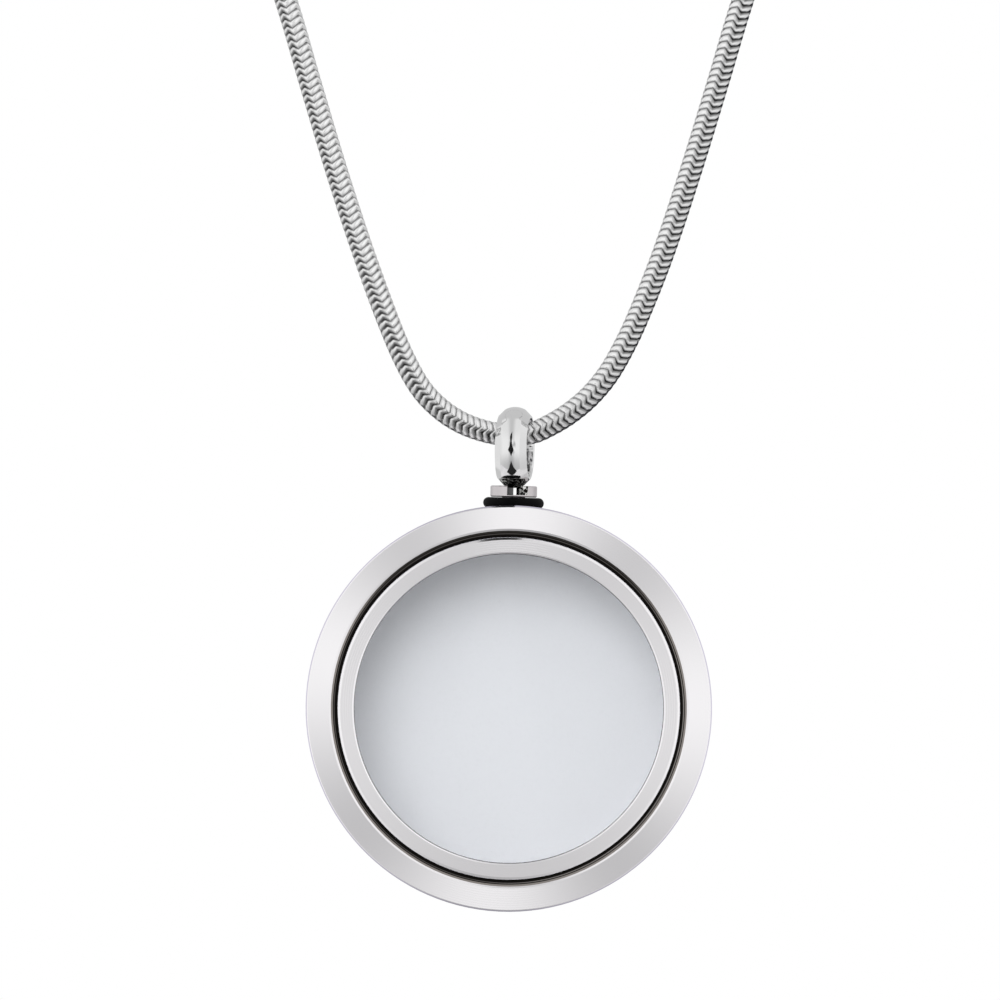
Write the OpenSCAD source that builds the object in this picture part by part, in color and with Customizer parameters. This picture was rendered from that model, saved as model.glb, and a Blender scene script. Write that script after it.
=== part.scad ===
/* [Case] */
// Outer diameter of the round case
case_d = 30; // [26:0.5:36]
// Thickness of the case from front to back
case_t = 7; // [6.6:0.1:9]
// Width of the polished rim face
rim_w = 1.86; // [1.5:0.02:2.4]
// Width of the bevel on the outer and inner edge of each rim face
rim_bevel = 0.14; // [0.06:0.01:0.25]
// Depth of the bevels on the rim and on the bezel
bevel_deep = 0.07; // [0.03:0.01:0.12]
// Width of the groove between the rim and the bezel
groove_w = 0.52; // [0.3:0.02:0.7]
// Depth of that groove
groove_deep = 0.8; // [0.5:0.05:1]
// Width of the step along the groove's outer side
groove_step_w = 0.24; // [0.1:0.02:0.3]
// Depth of that step below the rim face
groove_step_deep = 0.4; // [0.2:0.05:0.45]
// Width of the ledge that carries the glass
ledge_w = 0.8; // [0.5:0.05:1.1]

/* [Window] */
// Width of the bezel's face
bezel_w = 1.22; // [0.9:0.02:1.5]
// Height of the bezel, from its face down to the glass
bezel_h = 1.2; // [1.1:0.05:1.4]
// Width of the bevel on the two edges of the bezel's face
bezel_bevel = 0.16; // [0.06:0.01:0.3]
// Thickness of the glass
glass_t = 1; // [0.6:0.05:1.05]
// Polished edge of the glass
glass_chamfer = 0.1; // [0.05:0.01:0.2]

/* [Back] */
// Thickness of the back plate
plate_t = 1.2; // [0.8:0.1:1.4]
// Width of the step that the back plate rests on
plate_step_w = 0.9; // [0.5:0.05:1.2]
// Chamfer round the back plate's outer face
plate_chamfer = 0.12; // [0.05:0.01:0.3]

/* [Sealing ring] */
// Diameter of the black sealing ring
seal_d = 4.5; // [4:0.05:4.9]
// Thickness of the sealing ring
seal_t = 0.8; // [0.5:0.05:1]
// How far the ring's seat is sunk into the case's edge
seat_deep = 0.25; // [0.1:0.01:0.3]

/* [Plug] */
// Diameter of the plug's head
head_d = 3.45; // [3:0.05:3.8]
// Height of the plug's head
head_h = 0.84; // [0.7:0.02:1.1]
// Width of the slot across the head
slot_w = 1.1; // [0.6:0.05:1.4]
// Depth of the slot
slot_deep = 0.68; // [0.4:0.02:0.75]
// How far the slot lies from the middle of the head
slot_off = 0.3; // [0:0.05:0.35]
// Chamfer on the head's upper and lower edge
head_chamfer = 0.08; // [0.03:0.01:0.12]
// Diameter of the post that joins the ring and the head inside the slot
post_d = 0.7; // [0.4:0.05:0.8]
// How far the post lies from the middle of the head
post_off = 0.55; // [0.3:0.05:0.6]
// Outer diameter of the plug's thread
stem_d = 2; // [1.6:0.05:2.1]
// Pitch of the thread
pitch = 0.5; // [0.35:0.05:0.7]
// Number of turns of thread that go into the case
turns = 6; // [4:1:6]
// Depth of the thread's grooves
thread_deep = 0.15; // [0.05:0.01:0.2]

/* [Bail] */
// Outer diameter of the bail ring
bail_d = 6; // [5.4:0.1:7]
// Thickness of the bail ring's band in its middle
bail_wall = 0.95; // [0.85:0.05:1.1]
// Width of the bail ring's band
bail_w = 2.35; // [1.8:0.05:2.6]
// How far the band's outside is rounded at its edges
bail_round = 0.58; // [0.3:0.02:0.64]
// How far the band's inside is rounded at its edges
bail_ease = 0.1; // [0.06:0.01:0.2]
// Chamfer on the band's four edges
band_chamfer = 0.06; // [0.03:0.01:0.1]
// How deep the ring is soldered into the head
bail_sink = 0.16; // [0.1:0.02:0.24]
// How far the bail is turned about the plug's axis, clockwise from above
bail_yaw = 7.5; // [0:0.5:12]

/* [Chain] */
// Diameter of the snake chain
chain_d = 1.8; // [1.4:0.05:1.85]
// Outer diameter of the end caps
cap_d = 2.8; // [2.5:0.05:3.4]
// Length of the end caps
cap_l = 4.4; // [3.5:0.1:5]
// Chamfer on the end caps' edges
cap_chamfer = 0.2; // [0.05:0.05:0.25]
// Thickness of the end caps' closed end
cap_wall = 0.8; // [0.6:0.05:1]
// Wire of the end caps' loops
loop_wire = 0.7; // [0.55:0.05:0.75]
// Inner diameter of the end caps' loops
loop_bore = 2; // [1.95:0.05:2.3]

/* [Clasp] */
// Thickness of the clasp
clasp_t = 1.4; // [1:0.05:1.45]
// Width of the clasp at its wide end
clasp_w = 5.2; // [4.8:0.1:6]
// Width of the clasp at its eye
eye_w = 3.5; // [3.3:0.1:4.2]
// Band of metal round the clasp's two holes
clasp_band = 0.85; // [0.7:0.05:0.9]
// Chamfer on the clasp's edges
clasp_chamfer = 0.2; // [0.05:0.05:0.25]

/* [Fits] */
// Gap between pieces that are pressed or seated together
part_gap = 0.03; // [0.02:0.01:0.05]
// Gap between the thread and its hole
thread_gap = 0.05; // [0.03:0.01:0.1]
// Gap between the chain and the top of the bail ring
chain_gap = 0.2; // [0.16:0.01:0.3]
// Gap between the chain and the bore of an end cap
cap_gap = 0.1; // [0.06:0.01:0.15]
// Gap between the loops and the clasp's band
loop_gap = 0.1; // [0.05:0.01:0.15]

/* [Pose] */
// How far the hanging pendant leans in its own plane
hang_tilt = 1.3; // [0:0.1:3]

/* [Hidden] */
$fn = 96;

// The neck is round the origin, and the chain carries the bail in front of and below it.
bail_point = [0, -70, -120];

// Points of the chain from the bail's seat, first the two sides that hang in front of the chest,
// then the way round the neck, which is the same on both sides.
front_right = [
  [1.3, 0, 0.13], [2.6, 0, 0.7], [4, 0, 1.55], [5.4, 0, 2.7], [6.7, 0, 4.2], [7.8, 0, 6],
  [9.1, 0, 8.7], [11, 0, 13.5], [13, 0, 19.5], [15, 0.1, 26], [16.9, 0.5, 32.3]
];
front_left = [
  [-1.3, 0, 0.05], [-2.6, 0, 0.35], [-4, 0, 0.9], [-5.4, 0, 1.8], [-6.8, 0, 3.2], [-8, 0, 5.2],
  [-9.3, 0, 8.2], [-11.2, 0, 13.4], [-13.2, 0, 19.5], [-15.2, 0.1, 26.2], [-16.9, 0.5, 32]
];
round_the_neck = [
  [20.5, 2.5, 43], [25.6, 7, 55], [31.6, 13.2, 66.5], [38.6, 21.5, 77.5], [45.8, 32, 88],
  [52, 44.5, 97], [56.6, 58.5, 105], [58.6, 73, 111.5], [57.6, 88, 117], [53, 102, 121.8],
  [45, 114, 125.5], [34.5, 122.8, 128.2], [24.5, 128, 129.5], [15.5, 130, 130]
];
// The chain closes at the nape, in line with the last of these points.
nape = [for (p = round_the_neck) [0, p[1], p[2]]][len(round_the_neck) - 1];

// Greatest distance between two cross-sections of the chain, and the number of its sides.
chain_step = 7.4;
chain_sides = 8;
// A direction that the chain never runs along, from which its cross-sections take their turn.
chain_side = [0, 1, -1];

chain_r = chain_d / 2;
case_r = case_d / 2;
front = case_t / 2;
back = -case_t / 2;

groove_out_r = case_r - rim_w;
bezel_r = groove_out_r - groove_w;
bezel_in_r = bezel_r - bezel_w;
pocket_r = bezel_r + part_gap;
chamber_r = pocket_r - ledge_w;
glass_top = front - bezel_h - part_gap;
glass_low = glass_top - glass_t;
ledge = glass_low - part_gap;
plate_r = chamber_r + plate_step_w;
step = back + plate_t + part_gap;

bail_r = bail_d / 2;
bail_in_r = bail_r - bail_wall;
bail_c = bail_in_r - chain_r - chain_gap;
head_top = bail_c + bail_r - bail_sink;
head_low = head_top + head_h;
seal_top = head_low + part_gap;
seal_low = seal_top + seal_t;
seat = seal_low + part_gap;
case_c = seat + case_r - seat_deep;
stem_r = stem_d / 2;
stem_l = turns * pitch;
bore_r = stem_r + thread_gap;

cap_r = cap_d / 2;
cap_bore_r = chain_r + cap_gap;
loop_r = (loop_bore + loop_wire) / 2;
loop_seat = sqrt(pow(loop_bore / 2 - loop_gap, 2) - pow(clasp_t / 2, 2));
eye_r = eye_w / 2;
hook_r = clasp_w / 2;
eye_end = 6.1;
eye_c = eye_end - eye_r;
hook_c = eye_end - hook_r;
loop_c = eye_end - clasp_band + loop_seat;
cap_in = loop_c + loop_r;
chain_end = cap_in + cap_wall + cap_gap;

// One point of the curve that runs smoothly through b and c, past a and d.
function between(a, b, c, d, t) =
  0.5 * (2 * b + (c - a) * t + (2 * a - 5 * b + 4 * c - d) * pow(t, 2)
         + (3 * b - a - 3 * c + d) * pow(t, 3));

function unit(v) = v / norm(v);
function mirrored(p) = [-p[0], p[1], p[2]];
function reversed(list) = [for (i = [len(list) - 1:-1:0]) list[i]];

half_round = concat(round_the_neck, [[chain_end, nape[1], nape[2]]]);
route = concat(
  reversed([for (p = half_round) mirrored(p)]), reversed(front_left),
  [[0, 0, 0]], front_right, half_round
);
last = len(route) - 1;

function pieces(i) = max(1, round(norm(route[i + 1] - route[i]) / chain_step));
function route_at(i, t) =
  between(route[max(i - 1, 0)], route[i], route[i + 1], route[min(i + 2, last)], t);

// Sweeps a round section with the given number of sides along a list of points.
module tube(line, r, sides) {
  n = len(line);
  points = [
    for (i = [0:n - 1])
      let (
        ahead = unit(line[min(i + 1, n - 1)] - line[max(i - 1, 0)]),
        across = unit(cross(ahead, chain_side)),
        up = cross(across, ahead)
      )
        for (k = [0:sides - 1])
          line[i] + r * (across * cos(360 * k / sides) + up * sin(360 * k / sides))
  ];
  walls = [
    for (i = [0:n - 2], k = [0:sides - 1])
      let (a = i * sides + k, b = i * sides + (k + 1) % sides)
        for (face = [[a, b, b + sides], [a, b + sides, a + sides]]) face
  ];
  first_end = [for (k = [1:sides - 2]) [0, k + 1, k]];
  end = (n - 1) * sides;
  last_end = [for (k = [1:sides - 2]) [end, end + k, end + k + 1]];
  polyhedron(points = points, faces = concat(walls, first_end, last_end));
}

// Places the pendant's pieces, which are modelled from the chain's middle downwards.
module hang() {
  translate(bail_point) rotate([0, hang_tilt, 0]) children();
}

// Places the case's round pieces, which are modelled about the middle of the case, facing up.
module in_case() {
  hang() translate([0, 0, -case_c]) rotate([90, 0, 0]) children();
}

module case_ring() {
  color("silver")
    difference() {
      in_case()
        rotate_extrude()
          polygon([
            [chamber_r, step], [chamber_r, ledge], [pocket_r, ledge],
            [pocket_r, front - groove_deep], [groove_out_r - groove_step_w, front - groove_deep],
            [groove_out_r - groove_step_w, front - groove_step_deep],
            [groove_out_r, front - groove_step_deep],
            [groove_out_r, front - bevel_deep], [groove_out_r + rim_bevel, front],
            [case_r - rim_bevel, front], [case_r, front - bevel_deep],
            [case_r, back + bevel_deep], [case_r - rim_bevel, back],
            [plate_r + part_gap, back], [plate_r + part_gap, step]
          ]);
      hang() translate([0, 0, -case_c]) cylinder(r = bore_r, h = case_d);
      hang() translate([0, 0, -seat]) cylinder(d = seal_d + 2 * thread_gap, h = seal_t);
    }
}

module back_plate() {
  color("lightgray")
    in_case()
      rotate_extrude()
        polygon([
          [0, back], [plate_r - plate_chamfer, back], [plate_r, back + plate_chamfer],
          [plate_r, back + plate_t], [0, back + plate_t]
        ]);
}

module glass() {
  glass_r = pocket_r - part_gap;
  color("aliceblue", 0.4)
    in_case()
      rotate_extrude()
        polygon([
          [0, glass_low], [glass_r - glass_chamfer, glass_low], [glass_r, glass_low + glass_chamfer],
          [glass_r, glass_top - glass_chamfer], [glass_r - glass_chamfer, glass_top],
          [0, glass_top]
        ]);
}

module bezel() {
  color("gainsboro")
    in_case()
      rotate_extrude()
        polygon([
          [bezel_in_r, front - bezel_h], [bezel_r, front - bezel_h],
          [bezel_r, front - bevel_deep], [bezel_r - bezel_bevel, front],
          [bezel_in_r + bezel_bevel, front], [bezel_in_r, front - bevel_deep]
        ]);
}

module sealing_ring() {
  edge_r = seal_t / 2;
  color("black")
    hang()
      translate([0, 0, -seal_low])
        rotate_extrude() {
          translate([bore_r, 0]) square([seal_d / 2 - edge_r - bore_r, seal_t]);
          translate([seal_d / 2 - edge_r, edge_r]) circle(r = edge_r);
        }
}

// The band's section, wide along the ring's axis, rounded outside and eased inside.
module band_section() {
  half = bail_w / 2;
  out_r = (pow(half, 2) + pow(bail_round, 2)) / (2 * bail_round);
  ease_r = (pow(half, 2) + pow(bail_ease, 2)) / (2 * bail_ease);
  in_cut = bail_ease + band_chamfer;
  out_cut = bail_round + band_chamfer;
  intersection() {
    polygon([
      [bail_in_r, in_cut - half], [bail_in_r + in_cut, -half],
      [bail_r - out_cut, -half], [bail_r, out_cut - half],
      [bail_r, half - out_cut], [bail_r - out_cut, half],
      [bail_in_r + in_cut, half], [bail_in_r, half - in_cut]
    ]);
    translate([bail_r - out_r, 0]) circle(r = out_r);
    translate([bail_in_r + ease_r, 0]) circle(r = ease_r);
  }
}

module stem() {
  core_r = stem_r - thread_deep;
  rotate_extrude()
    polygon(concat(
      [[0, seal_t + 2 * part_gap + stem_l], [core_r, seal_t + 2 * part_gap + stem_l]],
      [[core_r, stem_l]],
      [
        for (i = [turns - 1:-1:0])
          for (p = [[stem_r, (i + 0.65) * pitch], [stem_r, (i + 0.45) * pitch], [core_r, i * pitch]])
            p
      ],
      [[0, 0]]
    ));
}

module head() {
  rim_r = head_d / 2 - head_chamfer;
  difference() {
    rotate_extrude()
      polygon([
        [0, 0], [rim_r, 0], [head_d / 2, head_chamfer], [head_d / 2, head_h - head_chamfer],
        [rim_r, head_h], [0, head_h]
      ]);
    translate([slot_off - slot_w / 2, -head_d, head_h - slot_deep])
      cube([slot_w, 2 * head_d, head_h]);
  }
  translate([post_off, 0, 0]) cylinder(d = post_d, h = head_h);
}

module bail_plug() {
  color("silver")
    hang()
      rotate([0, 0, -bail_yaw]) {
        translate([0, 0, -bail_c]) rotate([0, 90, 0]) rotate_extrude() band_section();
        translate([0, 0, -head_low]) head();
        translate([0, 0, -seat - stem_l]) stem();
      }
}

module chain() {
  line = [
    for (i = [0:last - 1], k = [0:pieces(i) - 1]) route_at(i, k / pieces(i)),
    route[last]
  ];
  color("darkgray") translate(bail_point) tube(line, chain_r, chain_sides);
}

// The cap on the chain's right end. Its closed end points at the clasp and carries the loop.
module end_cap() {
  translate(bail_point + nape) {
    translate([cap_in, 0, 0])
      rotate([0, 90, 0])
        rotate_extrude()
          polygon([
            [0, 0], [cap_r - cap_chamfer, 0], [cap_r, cap_chamfer],
            [cap_r, cap_l - cap_chamfer], [cap_r - cap_chamfer, cap_l],
            [cap_bore_r, cap_l], [cap_bore_r, cap_wall], [0, cap_wall]
          ]);
    translate([loop_c, 0, 0])
      rotate_extrude()
        translate([loop_r, 0]) circle(d = loop_wire);
  }
}

module end_cap_right() {
  color("silver") end_cap();
}

module end_cap_left() {
  color("silver") mirror([1, 0, 0]) end_cap();
}

// A round plate in the clasp's middle plane, with chamfered edges.
module clasp_disc(r) {
  half = clasp_t / 2;
  rotate_extrude()
    polygon([
      [0, -half], [r - clasp_chamfer, -half], [r, clasp_chamfer - half],
      [r, half - clasp_chamfer], [r - clasp_chamfer, half], [0, half]
    ]);
}

// What a hole with chamfered edges takes out of the clasp.
module clasp_hole(r) {
  half = clasp_t / 2;
  wide_r = r + 2 * clasp_chamfer;
  rotate_extrude()
    polygon([
      [0, -half - clasp_chamfer], [wide_r, -half - clasp_chamfer], [r, clasp_chamfer - half],
      [r, half - clasp_chamfer], [wide_r, half + clasp_chamfer], [0, half + clasp_chamfer]
    ]);
}

module clasp() {
  color("gray")
    translate(bail_point + nape)
      rotate([90, 0, 0])
        difference() {
          hull() {
            translate([-hook_c, 0, 0]) clasp_disc(hook_r, $fn = 48);
            translate([eye_c, 0, 0]) clasp_disc(eye_r, $fn = 48);
          }
          translate([-hook_c, 0, 0]) clasp_hole(hook_r - clasp_band);
          translate([eye_c, 0, 0]) clasp_hole(eye_r - clasp_band);
        }
}

case_ring();
back_plate();
glass();
bezel();
sealing_ring();
bail_plug();
chain();
end_cap_left();
end_cap_right();
clasp();
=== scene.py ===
import logging
import math
from dataclasses import dataclass, field
from enum import Enum
from typing import Optional, Union

import bpy
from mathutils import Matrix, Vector


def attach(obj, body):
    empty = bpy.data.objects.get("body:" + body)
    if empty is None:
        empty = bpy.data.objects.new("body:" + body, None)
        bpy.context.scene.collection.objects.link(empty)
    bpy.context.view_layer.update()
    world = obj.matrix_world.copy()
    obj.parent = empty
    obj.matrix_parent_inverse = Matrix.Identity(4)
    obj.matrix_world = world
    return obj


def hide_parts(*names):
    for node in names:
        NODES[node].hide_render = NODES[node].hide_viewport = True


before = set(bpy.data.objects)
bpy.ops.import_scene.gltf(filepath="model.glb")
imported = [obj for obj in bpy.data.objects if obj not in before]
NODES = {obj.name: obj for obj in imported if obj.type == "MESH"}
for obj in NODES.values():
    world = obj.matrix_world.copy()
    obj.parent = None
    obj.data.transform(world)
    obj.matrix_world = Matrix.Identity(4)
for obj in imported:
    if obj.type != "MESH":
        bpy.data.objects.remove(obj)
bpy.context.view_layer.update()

LOG = logging.getLogger("keepsake urn pendant")

MM = 0.001
BAIL_POINT = Vector((0.0, -0.070, -0.120))
HANG_TILT = math.radians(1.3)
CASE_DROP = 0.02024
CASE_CENTRE = BAIL_POINT - CASE_DROP * Vector((math.sin(HANG_TILT), 0.0, math.cos(HANG_TILT)))

Point = tuple[float, float, float]
Colour = tuple[float, float, float, float]
Term = Union[float, "Value"]


class Side(Enum):
    """The necklace's two sides, as the sign of X."""

    LEFT = -1.0
    RIGHT = 1.0


def grey(level: float) -> Colour:
    """Returns a neutral colour of that linear level."""
    return (level, level, level, 1.0)


class Value:
    """A socket of a node tree, on which sums are written as Python expressions."""

    def __init__(self, graph: "Graph", socket: bpy.types.NodeSocket) -> None:
        """Keeps the socket and the tree that it belongs to."""
        self.graph = graph
        self.socket = socket

    def _sum(self, operation: str, *terms: Term) -> "Value":
        """Adds one Math node.

        Args:
            operation: The Math node's operation.
            terms: The values of its sockets, in order.

        Returns:
            The node's result.
        """
        settings = {"operation": operation}
        return self.graph.value("ShaderNodeMath", settings, dict(enumerate(terms)))

    def __add__(self, other: Term) -> "Value":
        """Returns self + other."""
        return self._sum("ADD", self, other)

    def __radd__(self, other: Term) -> "Value":
        """Returns other + self."""
        return self._sum("ADD", other, self)

    def __sub__(self, other: Term) -> "Value":
        """Returns self - other."""
        return self._sum("SUBTRACT", self, other)

    def __rsub__(self, other: Term) -> "Value":
        """Returns other - self."""
        return self._sum("SUBTRACT", other, self)

    def __mul__(self, other: Term) -> "Value":
        """Returns self * other."""
        return self._sum("MULTIPLY", self, other)

    def __rmul__(self, other: Term) -> "Value":
        """Returns other * self."""
        return self._sum("MULTIPLY", other, self)

    def __neg__(self) -> "Value":
        """Returns -self."""
        return self._sum("MULTIPLY", self, -1.0)

    def absolute(self) -> "Value":
        """Returns the value without its sign."""
        return self._sum("ABSOLUTE", self)

    def sine(self) -> "Value":
        """Returns the sine of an angle in radians."""
        return self._sum("SINE", self)

    def cosine(self) -> "Value":
        """Returns the cosine of an angle in radians."""
        return self._sum("COSINE", self)

    def root(self) -> "Value":
        """Returns the square root."""
        return self._sum("SQRT", self)

    def angle_to(self, other: Term) -> "Value":
        """Returns the angle of the point (other, self)."""
        return self._sum("ARCTAN2", self, other)

    def greatest(self, other: Term) -> "Value":
        """Returns the greater of the two."""
        return self._sum("MAXIMUM", self, other)

    def least(self, other: Term) -> "Value":
        """Returns the lesser of the two."""
        return self._sum("MINIMUM", self, other)

    def rise(self, low: Term, high: Term) -> "Value":
        """Returns 0 below low and 1 above high, with a smooth rise between.

        Args:
            low: Where the rise starts.
            high: Where it ends. As a number it may lie below low, for a fall.

        Returns:
            The smooth step.
        """
        if isinstance(low, float) and isinstance(high, float) and high < low:
            return 1.0 - self.rise(high, low)
        settings = {"interpolation_type": "SMOOTHSTEP"}
        return self.graph.value("ShaderNodeMapRange", settings, {0: self, 1: low, 2: high})


class Graph:
    """A node tree that is built from Python expressions."""

    def __init__(self, tree: bpy.types.NodeTree) -> None:
        """Empties the tree and keeps it."""
        tree.nodes.clear()
        self.tree = tree

    def node(
        self,
        kind: str,
        settings: Optional[dict[str, object]] = None,
        inputs: Optional[dict[Union[str, int], object]] = None,
    ) -> bpy.types.Node:
        """Makes any node.

        Args:
            kind: The node's type.
            settings: Its own settings, set before its sockets.
            inputs: The values or links of its sockets, by name or number.

        Returns:
            The node.
        """
        made = self.tree.nodes.new(kind)
        for name, setting in (settings or {}).items():
            setattr(made, name, setting)
        for key, value in (inputs or {}).items():
            if isinstance(value, Value):
                self.tree.links.new(value.socket, made.inputs[key])
            else:
                made.inputs[key].default_value = value
        return made

    def value(
        self,
        kind: str,
        settings: Optional[dict[str, object]] = None,
        inputs: Optional[dict[Union[str, int], object]] = None,
        output: Union[str, int] = 0,
    ) -> Value:
        """Makes any node and returns one of its results.

        Args:
            kind: The node's type.
            settings: Its own settings.
            inputs: The values or links of its sockets.
            output: The name or number of the result.

        Returns:
            The result, ready for expressions.
        """
        return Value(self, self.node(kind, settings, inputs).outputs[output])

    def axes(self, vector: Value) -> tuple[Value, Value, Value]:
        """Returns a vector's three coordinates."""
        split = self.node("ShaderNodeSeparateXYZ", None, {0: vector})
        return tuple(Value(self, out) for out in split.outputs)

    def blend(self, share: Term, low: Union[Colour, Value], high: Union[Colour, Value]) -> Value:
        """Mixes two colours.

        Args:
            share: 0 gives the first colour and 1 the second.
            low: The first colour.
            high: The second colour.

        Returns:
            The mixed colour.
        """
        inputs = {"Factor": share, "A": low, "B": high}
        node = self.node("ShaderNodeMix", {"data_type": "RGBA"})
        for socket in node.inputs:
            if socket.enabled and socket.name in inputs:
                value = inputs[socket.name]
                if isinstance(value, Value):
                    self.tree.links.new(value.socket, socket)
                else:
                    socket.default_value = value
        return Value(self, next(out for out in node.outputs if out.enabled))


class Finish:
    """A finish of one of the pendant's materials, made as a Principled shader."""

    def material(self, name: str) -> bpy.types.Material:
        """Makes the material.

        Args:
            name: The material's name.

        Returns:
            The material, with its shader and output linked.
        """
        made = bpy.data.materials.new(name)
        made.use_nodes = True
        graph = Graph(made.node_tree)
        shader = graph.value("ShaderNodeBsdfPrincipled", None, self.sockets(graph), "BSDF")
        graph.node("ShaderNodeOutputMaterial", None, {"Surface": shader})
        return made

    def sockets(self, graph: Graph) -> dict[Union[str, int], object]:
        """Returns the values or links of the Principled shader's sockets."""
        raise NotImplementedError


@dataclass(frozen=True)
class PlainSteel(Finish):
    """Polished steel without a pattern."""

    colour: Colour = grey(0.90)
    roughness: float = 0.08

    def sockets(self, graph: Graph) -> dict[Union[str, int], object]:
        """Returns the polished metal's sockets."""
        return {"Base Color": self.colour, "Metallic": 1.0, "Roughness": self.roughness}


@dataclass(frozen=True)
class TurnedSteel(Finish):
    """Steel that is turned, in fine rings and very slightly dished, round the case's middle, with
    a thin line of painted shade along one edge.
    """

    colour: Colour = (0.95, 0.935, 0.95, 1.0)
    roughness: float = 0.13
    dish: float = 0.11
    ring_pitch: float = 0.17 * MM
    ring_height: float = 0.0004 * MM
    # Painted shade: the colour of a thin darker line, by default on the rim's outer front bevel.
    edge_shade: Colour = (0.66, 0.63, 0.73, 1.0)
    edge_from: float = 14.90 * MM
    edge_to: float = 15.10 * MM
    edge_above: float = 3.40 * MM
    soft: float = 0.02 * MM

    def sockets(self, graph: Graph) -> dict[Union[str, int], object]:
        """Returns the sockets, with the dish and the rings in the normal, and the painted shade
        line in the colour.
        """
        radius, depth, _ = self.place(graph)
        rings = (radius * (math.tau / self.ring_pitch)).sine()
        height = radius * self.dish + rings * self.ring_height
        bump = graph.value(
            "ShaderNodeBump", None, {"Strength": 1.0, "Distance": 1.0, "Height": height}
        )
        # Painted shade: the band between edge_from and edge_to, in front of edge_above, takes the
        # darker colour.
        edge = self.band(radius, self.edge_from, self.edge_to)
        edge = edge * depth.rise(self.edge_above - self.soft, self.edge_above)
        return {
            "Base Color": graph.blend(edge, self.colour, self.edge_shade),
            "Metallic": 1.0,
            "Roughness": self.roughness,
            "Normal": bump,
        }

    def band(self, value: Value, low: float, high: float) -> Value:
        """Returns 1 where the value lies between the two limits, and 0 beyond them."""
        return value.rise(low, low + self.soft) * value.rise(high, high - self.soft)

    @staticmethod
    def place(graph: Graph) -> tuple[Value, Value, Value]:
        """Finds a point's place round the case's axis.

        Args:
            graph: The material's node tree.

        Returns:
            The distance from the axis, the depth in front of the middle and the angle.
        """
        x, y, z = graph.axes(graph.value("ShaderNodeTexCoord", None, None, "Object"))
        across, up = x - CASE_CENTRE.x, z - CASE_CENTRE.z
        return (across * across + up * up).root(), CASE_CENTRE.y - y, up.angle_to(across)


@dataclass(frozen=True)
class GroovedSteel(TurnedSteel):
    """Turned steel with painted shade in the groove inside the rim: a near-black floor, a painted
    highlight line that is brighter at some angles round the rim, and a grey step that is painted
    darker towards the top.
    """

    inner: float = 12.55 * MM
    outer: float = 13.17 * MM
    top: float = 3.41 * MM
    floor: float = 2.60 * MM
    # Painted shade: the near-black groove, and the grey of its step, stand in for shade inside the
    # groove.
    groove_shade: Colour = (0.010, 0.009, 0.008, 1.0)
    shaded: Colour = (0.34, 0.31, 0.29, 1.0)
    # Painted highlight: the thin line's colour, brighter at some angles round the rim.
    line: Colour = (0.42, 0.39, 0.37, 1.0)
    line_at: float = 12.90 * MM
    line_width: float = 0.05 * MM
    step_from: float = 12.99 * MM
    line_dim: float = 0.3
    line_turn: float = 0.5
    line_fades: tuple[float, float] = (0.2, 0.9)
    step_dim: float = 0.1
    step_fades: tuple[float, float] = (0.45, 0.8)
    groove_roughness: float = 0.25

    def sockets(self, graph: Graph) -> dict[Union[str, int], object]:
        """Returns the turned steel's sockets, with the groove's painted shade and painted
        highlight in the colour.
        """
        sockets = super().sockets(graph)
        radius, depth, turn = self.place(graph)
        inside = self.band(radius, self.inner, self.outer) * self.band(depth, self.floor, self.top)
        # Painted highlight line, stronger at some angles round the rim.
        line = (radius - self.line_at).absolute().rise(self.line_width, 0.0)
        lit = (turn + self.line_turn).cosine().rise(*self.line_fades)
        line = line * (self.line_dim + (1.0 - self.line_dim) * lit)
        # The step's grey, with painted shade towards the top of the rim.
        step = radius.rise(self.step_from, self.step_from + self.soft)
        step = step * (1.0 - (1.0 - self.step_dim) * turn.sine().rise(*self.step_fades))
        groove = graph.blend(line, self.groove_shade, self.line)
        groove = graph.blend(step, groove, self.shaded)
        sockets["Base Color"] = graph.blend(inside, sockets["Base Color"], groove)
        sockets["Roughness"] = self.roughness + inside * self.groove_roughness
        return sockets


@dataclass(frozen=True)
class SatinPlate(Finish):
    """The back plate: satin and finely mottled inside the case, polished outside."""

    inner: Colour = (0.87, 0.885, 0.91, 1.0)
    outer: Colour = (0.88, 0.88, 0.89, 1.0)
    inner_roughness: float = 0.62
    outer_roughness: float = 0.2
    inner_metal: float = 0.3
    mottle: float = 0.05
    mottle_size: float = 0.25 * MM
    middle: float = -67.1 * MM
    soft: float = 0.05 * MM

    def sockets(self, graph: Graph) -> dict[Union[str, int], object]:
        """Returns the sockets, which differ between the plate's two faces."""
        place = graph.value("ShaderNodeTexCoord", None, None, "Object")
        y = graph.axes(place)[1]
        outside = y.rise(self.middle, self.middle + self.soft)
        noise = graph.value(
            "ShaderNodeTexNoise",
            {"noise_dimensions": "3D"},
            {"Vector": place, "Scale": 1.0 / self.mottle_size, "Detail": 3.0, "Roughness": 0.7},
        )
        shade = 1.0 - self.mottle * (noise - 0.5) * (1.0 - outside) * 2.0
        colour = graph.blend(outside, self.inner, self.outer)
        tint = graph.blend(shade.least(1.0), grey(0.0), colour)
        rough = self.inner_roughness + outside * (self.outer_roughness - self.inner_roughness)
        metal = self.inner_metal + outside * (1.0 - self.inner_metal)
        return {"Base Color": tint, "Metallic": metal, "Roughness": rough}


@dataclass(frozen=True)
class ClearPane(Finish):
    """The clear window glass."""

    tint: Colour = (0.985, 0.99, 1.0, 1.0)
    bend: float = 1.46

    def sockets(self, graph: Graph) -> dict[Union[str, int], object]:
        """Returns the clear glass's sockets."""
        return {
            "Base Color": self.tint,
            "Roughness": 0.0,
            "IOR": self.bend,
            "Transmission Weight": 1.0,
        }


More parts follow.
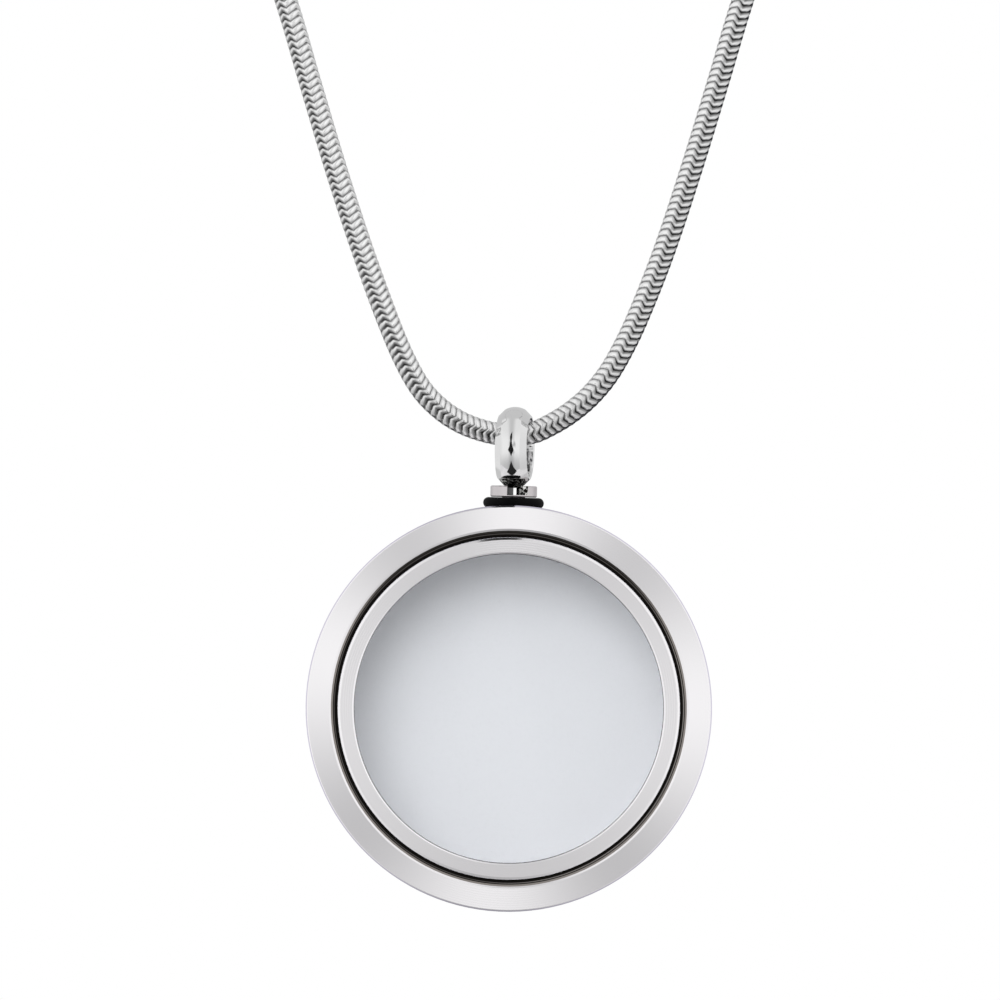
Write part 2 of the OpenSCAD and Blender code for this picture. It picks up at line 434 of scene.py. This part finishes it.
@dataclass(frozen=True)
class Rubber(Finish):
    """The black rubber of the sealing ring."""

    colour: Colour = grey(0.003)
    roughness: float = 0.6
    gloss: float = 0.06

    def sockets(self, graph: Graph) -> dict[Union[str, int], object]:
        """Returns the rubber's sockets."""
        return {
            "Base Color": self.colour,
            "Metallic": 0.0,
            "Roughness": self.roughness,
            "Specular IOR Level": self.gloss,
        }


@dataclass(frozen=True)
class ShadedJointSteel(PlainSteel):
    """The bail's mirror polish and the plug's satin head, with a painted dark reflection where the
    bail meets the plug and painted shade in the plug's slot, flecked with painted glints.
    """

    head: Colour = (0.68, 0.645, 0.655, 1.0)
    head_roughness: float = 0.35
    head_top: float = -3.79 * MM
    joint_top: float = -3.27 * MM
    joint_half: float = 0.95 * MM
    # Painted dark reflection at the bail's joint and painted shade in the slot take this
    # near-black colour.
    joint: Colour = (0.010, 0.009, 0.008, 1.0)
    joint_roughness: float = 0.45
    # Painted glints that fleck the dark patch.
    glint: Colour = (0.80, 0.80, 0.78, 1.0)
    glint_size: float = 0.27 * MM
    glint_limits: tuple[float, float] = (0.52, 0.56)
    slot_middle: float = 0.48 * MM
    slot_half: float = 0.76 * MM
    slot_floor: float = -4.47 * MM
    yaw: float = math.radians(7.5)
    soft: float = 0.03 * MM

    def sockets(self, graph: Graph) -> dict[Union[str, int], object]:
        """Returns the sockets, which change with the height on the bail and its plug."""
        place = graph.value("ShaderNodeTexCoord", None, None, "Object")
        x, y, z = graph.axes(place)
        high = z - BAIL_POINT.z
        along = (x - BAIL_POINT.x + high * -HANG_TILT) * math.cos(self.yaw)
        along = along - (y - BAIL_POINT.y) * math.sin(self.yaw)
        on_head = high.rise(self.head_top + self.soft, self.head_top)
        # Painted dark reflection on the bail's lowest part, just above the head.
        joint = high.rise(self.joint_top + self.soft, self.joint_top) * (1.0 - on_head)
        joint = joint * along.absolute().rise(self.joint_half + self.soft, self.joint_half)
        # Painted shade inside the plug's slot.
        aside = (along - self.slot_middle).absolute()
        in_slot = aside.rise(self.slot_half, self.slot_half - self.soft)
        in_slot = in_slot * high.rise(self.slot_floor - self.soft, self.slot_floor) * on_head
        painted_shade_mask = joint.greatest(in_slot)
        noise = graph.value(
            "ShaderNodeTexNoise",
            {"noise_dimensions": "3D"},
            {"Vector": place, "Scale": 1.0 / self.glint_size, "Detail": 2.0, "Roughness": 0.6},
        )
        # Painted glints in the dark patch.
        glints = noise.rise(*self.glint_limits) * joint.greatest(along.rise(0.0, self.soft))
        painted_dark = graph.blend(glints, self.joint, self.glint)
        steel = graph.blend(on_head, self.colour, self.head)
        rough = self.roughness + on_head * (self.head_roughness - self.roughness)
        return {
            "Base Color": graph.blend(painted_shade_mask, steel, painted_dark),
            "Metallic": 1.0,
            "Roughness": rough + painted_shade_mask * (self.joint_roughness - rough),
        }


@dataclass(frozen=True)
class LinkSteel(Finish):
    """The snake chain's steel, bright on each link's crest, with painted shade between the links
    and deeper painted shade on one side of each link.
    """

    crest: Colour = grey(0.95)
    # Painted shade: greys that darken the links' edges and the flange between the links.
    gap_shade: Colour = grey(0.66)
    deep_shade: Colour = grey(0.60)
    # Painted shade on one side of each link: its darker crest, edge and flange greys.
    shaded_crest: Colour = grey(0.84)
    shaded_gap: Colour = grey(0.30)
    shaded_deep: Colour = grey(0.13)
    shaded_width: float = 0.02
    crest_from: float = 0.70
    flange_fades: tuple[float, float] = (-0.7, -0.1)
    roughness: float = 0.24

    def sockets(self, graph: Graph) -> dict[Union[str, int], object]:
        """Returns the sockets, with the painted shade taken from the links' own attributes."""
        height, shaded = (
            graph.value("ShaderNodeAttribute", {"attribute_name": name}, None, "Fac")
            for name in ("crest", "row_shade")
        )
        crest = graph.blend(shaded, self.crest, self.shaded_crest)
        gap_shade = graph.blend(shaded, self.gap_shade, self.shaded_gap)
        deep_shade = graph.blend(shaded, self.deep_shade, self.shaded_deep)
        # Painted shade: lower on the link, and on the shaded side, the colour turns to the darker
        # greys.
        on_crest = (height - shaded * self.shaded_width).rise(0.0, self.crest_from)
        colour = graph.blend(on_crest, gap_shade, crest)
        colour = graph.blend(height.rise(*self.flange_fades), deep_shade, colour)
        return {"Base Color": colour, "Metallic": 1.0, "Roughness": self.roughness}


@dataclass(frozen=True)
class Matt(Finish):
    """A plain matt finish, for the floor and the studio's cards."""

    colour: Colour
    roughness: float = 0.7

    def sockets(self, graph: Graph) -> dict[Union[str, int], object]:
        """Returns the matt finish's sockets."""
        return {"Base Color": self.colour, "Metallic": 0.0, "Roughness": self.roughness}


@dataclass
class ChainRoute:
    """The line that the necklace follows, from its points in front and round the neck."""

    front_right: list[Point] = field(default_factory=lambda: [
        (0.0013, 0, 0.00013), (0.0026, 0, 0.0007), (0.004, 0, 0.00155), (0.0054, 0, 0.0027),
        (0.0067, 0, 0.0042), (0.0078, 0, 0.006), (0.0091, 0, 0.0087), (0.011, 0, 0.0135),
        (0.013, 0, 0.0195), (0.015, 0.0001, 0.026), (0.0169, 0.0005, 0.0323),
    ])
    front_left: list[Point] = field(default_factory=lambda: [
        (-0.0013, 0, 0.00005), (-0.0026, 0, 0.00035), (-0.004, 0, 0.0009), (-0.0054, 0, 0.0018),
        (-0.0068, 0, 0.0032), (-0.008, 0, 0.0052), (-0.0093, 0, 0.0082), (-0.0112, 0, 0.0134),
        (-0.0132, 0, 0.0195), (-0.0152, 0.0001, 0.0262), (-0.0169, 0.0005, 0.032),
    ])
    round_the_neck: list[Point] = field(default_factory=lambda: [
        (0.0205, 0.0025, 0.043), (0.0256, 0.007, 0.055), (0.0316, 0.0132, 0.0665),
        (0.0386, 0.0215, 0.0775), (0.0458, 0.032, 0.088), (0.052, 0.0445, 0.097),
        (0.0566, 0.0585, 0.105), (0.05855, 0.073, 0.1115), (0.0576, 0.088, 0.117),
        (0.053, 0.102, 0.1218), (0.045, 0.114, 0.1255), (0.0345, 0.1228, 0.1282),
        (0.0245, 0.128, 0.1295), (0.0155, 0.130, 0.130),
    ])
    chain_end: float = 0.0080657
    step: float = 0.2 * MM

    def stations(self) -> list[Vector]:
        """Returns the chosen points in order, from the left cap to the right one."""
        left = [*self.front_left, *self.behind(Side.LEFT)]
        right = [*self.front_right, *self.behind(Side.RIGHT)]
        line = [*reversed(left), (0.0, 0.0, 0.0), *right]
        return [BAIL_POINT + Vector(p) for p in line]

    def behind(self, side: Side) -> list[Point]:
        """Returns the points from the chest round the neck to the cap, on one side."""
        nape = self.round_the_neck[-1]
        half = [*self.round_the_neck, (self.chain_end, nape[1], nape[2])]
        return [(side.value * x, y, z) for x, y, z in half]

    def points(self) -> list[Vector]:
        """Returns the smooth line through the chosen points, in short steps."""
        line = self.stations()
        last = len(line) - 1
        made: list[Vector] = []
        for i in range(last):
            a, b, c, d = line[max(i - 1, 0)], line[i], line[i + 1], line[min(i + 2, last)]
            count = max(1, round((c - b).length / self.step))
            for k in range(count):
                t = k / count
                made.append(0.5 * (
                    2 * b + (c - a) * t + (2 * a - 5 * b + 4 * c - d) * t ** 2
                    + (3 * b - a - 3 * c + d) * t ** 3
                ))
        return [*made, line[-1]]


@dataclass(frozen=True)
class Bend:
    """One corner of a link's wavy ring, within a quarter of the ring.

    Args:
        degrees: Its angle from the start of the quarter.
        wave: Its place along the chain, as a share of the wave's height.
        sink: How far it lies below the chain's surface, as a share of the seam's depth.
        crest: Its height on the link as the finish sees it, from 0 to 1; the finish paints more
            shade on lower heights.
    """

    degrees: float
    wave: float
    sink: float
    crest: float


@dataclass
class SnakeChain:
    """The round snake chain: wavy rings that lie close behind one another along the route."""

    route: ChainRoute = field(default_factory=ChainRoute)
    radius: float = 0.89 * MM
    pitch: float = 0.518 * MM
    quarters: int = 4
    # Painted shade: between these angles round each link, in degrees, the finish darkens that side
    # of the link.
    row_shade_start: float = 15.0
    row_shade_end: float = 160.0
    row_shade_fade: float = 60.0
    bends: tuple[Bend, ...] = (
        Bend(0.0, 1.0, 0.6, 0.9),
        Bend(15.0, 0.0, 1.0, 0.5),
        Bend(30.0, -1.0, 1.0, 0.85),
        Bend(60.0, 0.0, 0.0, 1.0),
    )
    wave_height: float = 0.17 * MM
    seam_depth: float = 0.05 * MM
    half_width: float = 0.254 * MM
    gap_pinch: float = 0.085 * MM
    edge_drop: float = 0.05 * MM
    flange: float = 0.13 * MM
    flange_drop: float = 0.05 * MM
    roll: float = math.radians(190.0)
    twist: float = math.radians(-27.0)
    twist_from: float = -12.0 * MM
    twist_to: float = -8.5 * MM
    finish: Finish = field(default_factory=LinkSteel)

    def row_shade(self, degrees: float) -> float:
        """Returns how much painted shade a link gets at an angle round it, from 0 to 1."""
        start = min(1.0, degrees / self.row_shade_start)
        return start * min(1.0, max(0.0, self.row_shade_end - degrees) / self.row_shade_fade)

    def link_mesh(self) -> bpy.types.Mesh:
        """Makes one wavy ring round the Z axis.

        Returns:
            The ring's closed mesh, with each point's height above the gaps and its share of
            painted shade on the darker side as attributes.
        """
        points: list[Point] = []
        crest: list[float] = []
        row_shade: list[float] = []
        for quarter in range(self.quarters):
            for bend in self.bends:
                degrees = 360.0 / self.quarters * quarter + bend.degrees
                turn = math.radians(degrees)
                top = self.radius - self.seam_depth * bend.sink
                half = self.half_width - self.gap_pinch * max(0.0, -bend.wave)
                middle = self.wave_height * bend.wave
                low = top - self.edge_drop
                ring = [
                    (middle - half, low, 0.0),
                    (middle, top, bend.crest),
                    (middle + half, low, 0.0),
                    (middle + half + self.flange, low - self.flange_drop, -1.0),
                ]
                for z, r, height in ring:
                    points.append((r * math.cos(turn), r * math.sin(turn), z))
                    crest.append(height)
                    row_shade.append(self.row_shade(degrees))
        rows = len(ring)
        sides = self.quarters * len(self.bends)
        faces = []
        for k in range(sides):
            n = (k + 1) % sides
            for j in range(rows):
                m = (j + 1) % rows
                faces.append((k * rows + j, n * rows + j, n * rows + m, k * rows + m))
        mesh = bpy.data.meshes.new("snake chain link")
        mesh.from_pydata(points, [], faces)
        rounded = [i % rows < 2 for i in range(len(faces))]
        mesh.polygons.foreach_set("use_smooth", rounded)
        # The links carry where their shade is painted as two attributes.
        for name, values in (("crest", crest), ("row_shade", row_shade)):
            mesh.attributes.new(name, "FLOAT", "POINT").data.foreach_set("value", values)
        mesh.update()
        return mesh

    def tree(self) -> bpy.types.NodeTree:
        """Builds the node tree that sets a link at each step along the route.

        Returns:
            The Geometry Nodes tree, with named inputs for its sizes.
        """
        tree = bpy.data.node_groups.new("snake chain links", "GeometryNodeTree")
        sockets = (
            ("Route", "INPUT", "NodeSocketGeometry"),
            ("Link", "INPUT", "NodeSocketObject"),
            ("Pitch", "INPUT", "NodeSocketFloat"),
            ("Roll", "INPUT", "NodeSocketFloat"),
            ("Twist", "INPUT", "NodeSocketFloat"),
            ("Twist From", "INPUT", "NodeSocketFloat"),
            ("Twist To", "INPUT", "NodeSocketFloat"),
            ("Finish", "INPUT", "NodeSocketMaterial"),
            ("Chain", "OUTPUT", "NodeSocketGeometry"),
        )
        for name, side, kind in sockets:
            tree.interface.new_socket(name, in_out=side, socket_type=kind)
        graph = Graph(tree)
        given = graph.node("NodeGroupInput")
        route, link, pitch, roll, twist, twist_from, twist_to, finish = (
            Value(graph, out) for out in given.outputs[:8]
        )
        line = graph.value("GeometryNodeMeshToCurve", None, {"Mesh": route})
        stations = graph.value(
            "GeometryNodeResampleCurve", {"mode": "LENGTH"}, {"Curve": line, "Length": pitch}
        )
        along = graph.value("GeometryNodeInputTangent")
        facing = graph.value(
            "FunctionNodeAxesToRotation",
            {"primary_axis": "Z", "secondary_axis": "X"},
            {"Primary Axis": along, "Secondary Axis": (0.0, 1.0, 0.0)},
        )
        sideways = graph.axes(graph.value("GeometryNodeInputPosition"))[0]
        angle = roll + twist * sideways.rise(twist_from, twist_to)
        turned = graph.value(
            "FunctionNodeAxisAngleToRotation",
            None,
            {"Axis": (0.0, 0.0, 1.0), "Angle": angle},
        )
        stance = graph.value(
            "FunctionNodeRotateRotation",
            {"rotation_space": "LOCAL"},
            {"Rotation": facing, "Rotate By": turned},
        )
        shape = graph.value(
            "GeometryNodeObjectInfo", None, {"Object": link, "As Instance": True}, "Geometry"
        )
        links = graph.value(
            "GeometryNodeInstanceOnPoints",
            None,
            {"Points": stations, "Instance": shape, "Rotation": stance},
        )
        real = graph.value("GeometryNodeRealizeInstances", None, {0: links})
        dressed = graph.value(
            "GeometryNodeSetMaterial", None, {"Geometry": real, "Material": finish}
        )
        graph.node("NodeGroupOutput", None, {"Chain": dressed})
        return tree

    def build(self) -> bpy.types.Object:
        """Makes the chain's links as one mesh in place of the plain tube.

        Returns:
            The chain.
        """
        line = self.route.points()
        mesh = bpy.data.meshes.new("snake chain route")
        mesh.from_pydata([tuple(p) for p in line], [(i, i + 1) for i in range(len(line) - 1)], [])
        carrier = bpy.data.objects.new("snake_chain", mesh)
        link = bpy.data.objects.new("snake chain link", self.link_mesh())
        scene = bpy.context.scene.collection
        scene.objects.link(carrier)
        scene.objects.link(link)
        tree = self.tree()
        modifier = carrier.modifiers.new("links", "NODES")
        modifier.node_group = tree
        values = {
            "Link": link,
            "Pitch": self.pitch,
            "Roll": self.roll,
            "Twist": self.twist,
            "Twist From": self.twist_from,
            "Twist To": self.twist_to,
            "Finish": self.finish.material("chain_steel"),
        }
        for item in tree.interface.items_tree:
            if item.in_out == "INPUT" and item.name in values:
                modifier[item.identifier] = values[item.name]
        baked = bpy.data.meshes.new_from_object(
            carrier.evaluated_get(bpy.context.evaluated_depsgraph_get())
        )
        carrier.modifiers.remove(modifier)
        carrier.data = baked
        bpy.data.objects.remove(link)
        bpy.data.node_groups.remove(tree)
        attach(carrier, "necklace")
        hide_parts("chain")
        LOG.info("chain: %d faces in links %.2f mm apart", len(baked.polygons), self.pitch / MM)
        return carrier


@dataclass
class Locket:
    """The case with its back plate, glass and bezel."""

    rim: Finish = field(default_factory=GroovedSteel)
    bezel: Finish = field(default_factory=lambda: TurnedSteel(
        dish=0.052,
        # Painted shadow: a dark thin line on the bezel's inner edge, where the glass meets it.
        edge_shade=(0.22, 0.22, 0.24, 1.0),
        edge_from=11.30 * MM,
        edge_to=11.46 * MM,
        edge_above=2.0 * MM,
    ))
    plate: Finish = field(default_factory=SatinPlate)
    pane: Finish = field(default_factory=ClearPane)

    def build(self) -> None:
        """Dresses the case's four pieces."""
        dress("case_ring", self.rim, "case_steel")
        dress("bezel", self.bezel, "bezel_steel")
        dress("back_plate", self.plate, "plate_steel")
        glass = dress("glass", self.pane, "window_glass")
        glass.visible_shadow = False


@dataclass
class BailAndPlug:
    """The bail ring on its plug, with the sealing ring under the plug's head."""

    mirror: Finish = field(default_factory=lambda: ShadedJointSteel(grey(0.83), 0.07))
    rubber: Finish = field(default_factory=Rubber)

    def build(self) -> None:
        """Dresses the bail with its plug, and the sealing ring."""
        dress("bail_plug", self.mirror, "bail_steel")
        dress("sealing_ring", self.rubber, "seal_rubber")


@dataclass
class Clasp:
    """The clasp at the nape and the caps on the chain's ends."""

    steel: Finish = field(default_factory=lambda: PlainSteel(grey(0.85), 0.16))
    pieces: tuple[str, ...] = ("end_cap_left", "end_cap_right", "clasp")

    def build(self) -> None:
        """Dresses the clasp and the two caps."""
        made = self.steel.material("clasp_steel")
        for piece in self.pieces:
            dress(piece, self.steel, "clasp_steel", made)


def dress(
    node: str, finish: Finish, slot: str, made: Optional[bpy.types.Material] = None
) -> bpy.types.Object:
    """Gives a CAD node its finish.

    Args:
        node: The CAD node's name.
        finish: The finish.
        slot: The material's name, where the material is made here.
        made: The finish's material, where it is made already.

    Returns:
        The node's object.
    """
    piece = NODES[node]
    piece.data.materials.clear()
    piece.data.materials.append(made or finish.material(slot))
    LOG.info("%s: %s", node, type(finish).__name__)
    return piece


@dataclass(frozen=True)
class Surroundings:
    """How bright the studio looks in each direction, as the steel mirrors it.

    The rim's face and the bezel's mirror narrow cones in front, one inside the other. The
    rounded pieces mirror the wide field round them, and at their edges what lies behind.
    """

    rim_level: float = 0.76
    rim_swing: float = 0.23
    rim_tilt: float = 0.045
    lobes: float = 4.0
    lobe_shift: float = 0.424
    lobe_across: float = 0.637
    lobe_up: float = 0.10
    lobe_double: float = 0.454
    bezel_level: float = 0.67
    bezel_swing: float = 0.12
    box_level: float = 0.17
    box_shift: float = 1.6
    box_limits: tuple[float, float] = (0.30, 0.10)
    wide_level: float = 0.97
    low_dim: float = 0.42
    low_limits: tuple[float, float] = (-0.1, -0.85)
    crease_dim: float = 0.28
    crease_shift: float = 0.08
    crease_limits: tuple[float, float] = (0.40, 0.04)
    side_dim: float = 0.12
    side_limits: tuple[float, float] = (0.80, 0.96)
    high_dim: float = 0.1
    high_limits: tuple[float, float] = (0.3, 0.8)
    bezel_limits: tuple[float, float] = (0.16, 0.13)
    wide_limits: tuple[float, float] = (0.30, 0.42)
    left_limits: tuple[float, float] = (0.2, -0.2)
    horizon: float = -0.1
    left_sink: float = 0.35
    ground_level: float = 0.03
    behind_level: float = 0.61
    horizon_limits: tuple[float, float] = (-0.12, 0.05)
    wrap: float = 0.3
    left_wrap: float = 0.3
    edge_sink: float = 0.22
    edge_limits: tuple[float, float] = (-0.25, -0.08)

    def level(self, graph: Graph) -> Value:
        """Finds the brightness of the direction that is looked in.

        Args:
            graph: The world's node tree.

        Returns:
            The brightness, from 0 to 1.
        """
        toward = graph.value("ShaderNodeTexCoord", None, None, "Generated")
        x, y, z = graph.axes(toward)
        off_axis = (x * x + z * z).root()
        turn = z.angle_to(x)
        rim, bezel, wide = self.rim(turn), self.bezel(turn), self.wide(x, z)
        panels = rim + (bezel - rim) * off_axis.rise(*self.bezel_limits)
        panels = panels + (wide - panels) * off_axis.rise(*self.wide_limits)
        leftness = x.rise(*self.left_limits)
        horizon = self.horizon - self.left_sink * leftness
        sky = (z - horizon).rise(*self.horizon_limits)
        behind = self.ground_level + self.behind_level * sky
        wrap = (self.wrap + self.left_wrap * leftness) * x.absolute()
        edge = (-y - self.edge_sink * z.greatest(0.0) + wrap).rise(*self.edge_limits)
        return behind + (panels - behind) * edge

    def rim(self, turn: Value) -> Value:
        """Returns the brightness that the rim's face mirrors, by the angle round the view."""
        lobes = turn * self.lobes + self.lobe_shift
        lobes = lobes + self.lobe_across * turn.cosine() + self.lobe_up * turn.sine()
        lobes = lobes - self.lobe_double * (turn * 2.0).sine()
        return self.rim_level + self.rim_swing * lobes.cosine() - self.rim_tilt * turn.sine()

    def bezel(self, turn: Value) -> Value:
        """Returns the brightness that the bezel's face mirrors, by the angle round the view."""
        box = (turn + self.box_shift).absolute().rise(*self.box_limits)
        swing = self.bezel_swing * (turn * 2.0).cosine()
        return self.bezel_level + swing + self.box_level * box

    def wide(self, x: Value, z: Value) -> Value:
        """Returns the brightness of the wide field, by the direction's X and Z."""
        crease = (x + self.crease_shift).absolute().rise(*self.crease_limits)
        wide = self.wide_level * (1.0 - self.low_dim * z.rise(*self.low_limits))
        wide = wide * (1.0 - self.crease_dim * crease)
        wide = wide * (1.0 - self.side_dim * x.absolute().rise(*self.side_limits))
        return wide * (1.0 - self.high_dim * z.rise(*self.high_limits))


@dataclass
class Studio:
    """The soft light round the pendant, the white backdrop, the pale floor and the camera."""

    surroundings: Surroundings = Surroundings()
    darkest: Colour = (0.0, 0.0, 0.008, 1.0)
    camera_distance: float = 1.6
    frame_width: float = 73.96 * MM
    frame_middle: Point = (-1.11 * MM, -0.070, -124.84 * MM)
    sensor: float = 36.0
    clip_near: float = 0.01
    clip_far: float = 20.0
    lamp_size: float = 0.42
    lamp_power: float = 0.91
    lamp_place: Point = (-0.13, -0.45, 0.19)
    floor_height: float = -0.30
    floor_colour: Colour = grey(0.86)
    card_colour: Colour = grey(0.003)
    floor_radius: float = 1.2
    dome_radius: float = 8.0
    matt_share: float = 0.45
    tall_card_y: float = -80.0
    tall_card: tuple[tuple[float, float], ...] = (
        (-0.35, -112.4), (-0.25, -116.2), (-0.6, -118.2), (0.0, -120.4), (1.05, -122.1),
        (0.2, -123.3), (-0.9, -125.0), (-2.05, -123.3), (-3.9, -122.1), (-2.35, -120.4),
        (-1.75, -118.2), (-2.3, -116.0), (-1.6, -114.2),
    )
    low_card_z: float = -124.5
    low_card: tuple[tuple[float, float], ...] = (
        (-0.7, -76.1), (-1.1, -73.7), (-1.4, -72.5), (-0.4, -72.3), (0.3, -72.5),
        (0.85, -72.9), (0.2, -73.9),
    )

    def build(self) -> None:
        """Makes the light, the backdrop, the floor and the camera."""
        bpy.context.scene.view_settings.view_transform = "Standard"
        self.light()
        self.key()
        self.black_cards()
        self.backdrop()
        self.floor()
        self.camera()

    def light(self) -> None:
        """Makes the studio's light as brightness by direction."""
        world = bpy.data.worlds.new("studio")
        bpy.context.scene.world = world
        world.use_nodes = True
        graph = Graph(world.node_tree)
        level = self.surroundings.level(graph)
        shade = graph.blend(level, self.darkest, grey(1.0))
        on_matt = graph.value("ShaderNodeLightPath", None, None, "Is Diffuse Ray")
        strength = 1.0 - self.matt_share * on_matt
        light = graph.value("ShaderNodeBackground", None, {"Color": shade, "Strength": strength})
        graph.node("ShaderNodeOutputWorld", None, {"Surface": light})

    def key(self) -> None:
        """Makes the soft lamp that shines into the case from the top left."""
        lamp = bpy.data.lights.new("key lamp", "AREA")
        lamp.shape = "DISK"
        lamp.size = self.lamp_size
        lamp.energy = self.lamp_power
        placed = bpy.data.objects.new("key lamp", lamp)
        placed.location = BAIL_POINT + Vector(self.lamp_place)
        aim = CASE_CENTRE - placed.location
        placed.rotation_euler = aim.to_track_quat("-Z", "Y").to_euler()
        placed.visible_glossy = False
        bpy.context.scene.collection.objects.link(placed)

    def black_cards(self) -> None:
        """Makes the two small black cards near the bail, which only its polish mirrors."""
        self.card("tall_card", [(x, self.tall_card_y, z) for x, z in self.tall_card])
        self.card("low_card", [(x, y, self.low_card_z) for x, y in self.low_card])

    def card(self, name: str, corners: list[Point]) -> None:
        """Makes one flat black card that only reflections see.

        Args:
            name: The card's name.
            corners: Its corners in order, in millimetres.
        """
        mesh = bpy.data.meshes.new(name)
        places = [[c * MM for c in corner] for corner in corners]
        mesh.from_pydata(places, [], [tuple(range(len(places)))])
        mesh.materials.append(Matt(self.card_colour).material(name))
        card = bpy.data.objects.new(name, mesh)
        bpy.context.scene.collection.objects.link(card)
        card.visible_camera = False
        card.visible_diffuse = False
        card.visible_shadow = False
        card.visible_transmission = False

    def backdrop(self) -> None:
        """Makes the white dome far behind everything, which only the camera sees."""
        bpy.ops.mesh.primitive_ico_sphere_add(subdivisions=4, radius=self.dome_radius)
        dome = bpy.context.object
        dome.name = "backdrop"
        made = bpy.data.materials.new("white backdrop")
        made.use_nodes = True
        graph = Graph(made.node_tree)
        glow = graph.value("ShaderNodeEmission", None, {"Color": grey(1.0), "Strength": 1.0})
        graph.node("ShaderNodeOutputMaterial", None, {"Surface": glow})
        dome.data.materials.append(made)
        dome.visible_diffuse = False
        dome.visible_glossy = False
        dome.visible_transmission = False
        dome.visible_shadow = False

    def floor(self) -> None:
        """Makes the round pale floor below the hanging pendant."""
        bpy.ops.mesh.primitive_circle_add(
            vertices=96, radius=self.floor_radius, fill_type="NGON",
            location=(0.0, 0.0, self.floor_height),
        )
        floor = bpy.context.object
        floor.name = "floor"
        floor.data.materials.append(Matt(self.floor_colour).material("pale floor"))
        floor.visible_glossy = False
        floor.visible_diffuse = False

    def camera(self) -> None:
        """Makes the camera, level and straight in front of the pendant."""
        data = bpy.data.cameras.new("camera")
        data.sensor_width = self.sensor
        data.lens = self.sensor * self.camera_distance / self.frame_width
        data.clip_start = self.clip_near
        data.clip_end = self.clip_far
        placed = bpy.data.objects.new("camera", data)
        placed.location = Vector(self.frame_middle) - Vector((0.0, self.camera_distance, 0.0))
        placed.rotation_euler = (math.radians(90.0), 0.0, 0.0)
        bpy.context.scene.collection.objects.link(placed)
        bpy.context.scene.camera = placed


def main() -> None:
    """Builds and dresses the necklace and its studio."""
    logging.basicConfig(level=logging.INFO, format="%(name)s: %(message)s")
    for part in (SnakeChain(), Locket(), BailAndPlug(), Clasp(), Studio()):
        part.build()


if __name__ == "__main__":
    main()
